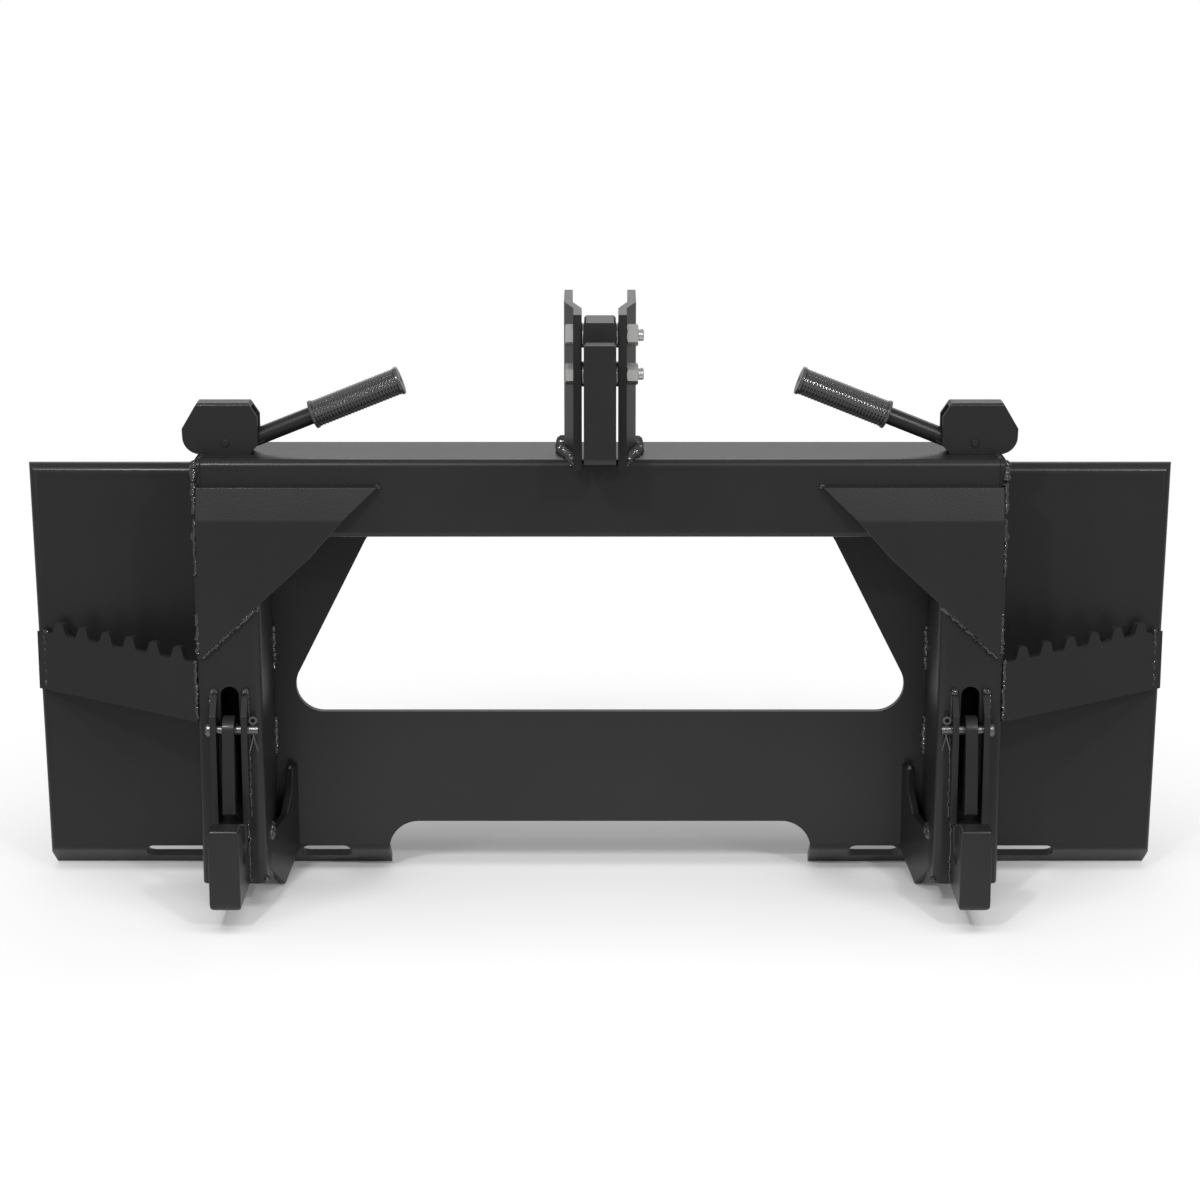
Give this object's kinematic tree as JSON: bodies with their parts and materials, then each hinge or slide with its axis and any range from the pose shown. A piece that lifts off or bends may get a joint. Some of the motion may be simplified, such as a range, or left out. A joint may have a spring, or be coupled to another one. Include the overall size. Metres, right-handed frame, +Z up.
{
  "type": "three point quick hitch",
  "caption": "Wide coupling plate with a toolbar, uprights with latched lower hooks, a top hook on a bolted mast and sprung release levers, for Category 1 implements",
  "frame": {"origin": "centre of the bounding box in plan, at the level of the coupling plate's lip edge, which stands on the floor", "axes": "+X to the right along the toolbar as seen from the implement, +Y away from the implement towards the loader, +Z up"},
  "size_m": [1.132, 0.235, 0.598],
  "materials": {
    "black_paint": "glossy black powder coat",
    "grip_rubber": "matt ribbed rubber",
    "zinc_fasteners": "bright zinc plating",
    "bare_steel": "drawn steel, lightly oiled"
  },
  "bodies": {
    "frame": {"skid_plate": "black_paint", "toolbar": "black_paint", "top_hook": "black_paint", "top_hook_bolts": "zinc_fasteners", "top_hook_nuts": "zinc_fasteners", "top_hook_spacers": "zinc_fasteners", "toolbar_end_cap_left": "black_paint", "toolbar_end_cap_right": "black_paint", "upright_left": "black_paint", "upright_right": "black_paint", "corner_gusset_left": "black_paint", "corner_gusset_right": "black_paint", "step_left": "black_paint", "step_right": "black_paint", "foot_brace_left": "black_paint", "foot_brace_right": "black_paint", "mast_plate_left": "black_paint", "mast_plate_right": "black_paint", "lower_hook_left": "black_paint", "lower_hook_right": "black_paint", "cheek_plates_left": "black_paint", "cheek_plates_right": "black_paint", "latch_pin_left": "zinc_fasteners", "latch_pin_right": "zinc_fasteners", "split_pin_left": "zinc_fasteners", "split_pin_right": "zinc_fasteners", "lever_housing_left": "black_paint", "lever_housing_right": "black_paint", "lever_pin_left": "black_paint", "lever_pin_right": "black_paint", "spring_seat_left": "black_paint", "spring_seat_right": "black_paint"},
    "lever_left": {"lever_left": "black_paint", "grip_left": "grip_rubber"},
    "rod_left": {"link_rod_left": "bare_steel", "rod_collar_left": "bare_steel", "return_spring_left": "bare_steel"},
    "latch_left": {"latch_left": "black_paint"},
    "lever_right": {"lever_right": "black_paint", "grip_right": "grip_rubber"},
    "rod_right": {"link_rod_right": "bare_steel", "rod_collar_right": "bare_steel", "return_spring_right": "bare_steel"},
    "latch_right": {"latch_right": "black_paint"}
  },
  "joints": [
    {"name": "lever_left_lift", "type": "hinge", "parent": "frame", "child": "lever_left", "pos_m": [-0.361, 0.0135, 0.4585], "axis": [0, -1, 0], "range_deg": [0, 30]},
    {"name": "rod_left_slide", "type": "slide", "parent": "frame", "child": "rod_left", "axis": [0, 0, 1], "range_m": [0, 0.0093], "stiffness_N_per_m": 1500, "springref_m": -0.012, "deforming": ["return_spring_left"]},
    {"name": "latch_left_swing", "type": "hinge", "parent": "frame", "child": "latch_left", "pos_m": [-0.359, -0.0455, 0.185], "axis": [1, 0, 0], "range_deg": [0, 17.6]},
    {"name": "lever_right_lift", "type": "hinge", "parent": "frame", "child": "lever_right", "pos_m": [0.361, 0.0135, 0.4585], "axis": [0, 1, 0], "range_deg": [0, 30]},
    {"name": "rod_right_slide", "type": "slide", "parent": "frame", "child": "rod_right", "axis": [0, 0, 1], "range_m": [0, 0.0093], "stiffness_N_per_m": 1500, "springref_m": -0.012, "deforming": ["return_spring_right"]},
    {"name": "latch_right_swing", "type": "hinge", "parent": "frame", "child": "latch_right", "pos_m": [0.359, -0.0455, 0.185], "axis": [1, 0, 0], "range_deg": [0, 17.6]}
  ],
  "couplings": [
    {"joint": "rod_left_slide", "follows": "lever_left_lift", "m_per_rad": 0.017571},
    {"joint": "latch_left_swing", "follows": "lever_left_lift", "ratio": 0.58116},
    {"joint": "rod_right_slide", "follows": "lever_right_lift", "m_per_rad": 0.017571},
    {"joint": "latch_right_swing", "follows": "lever_right_lift", "ratio": 0.58116}
  ]
}
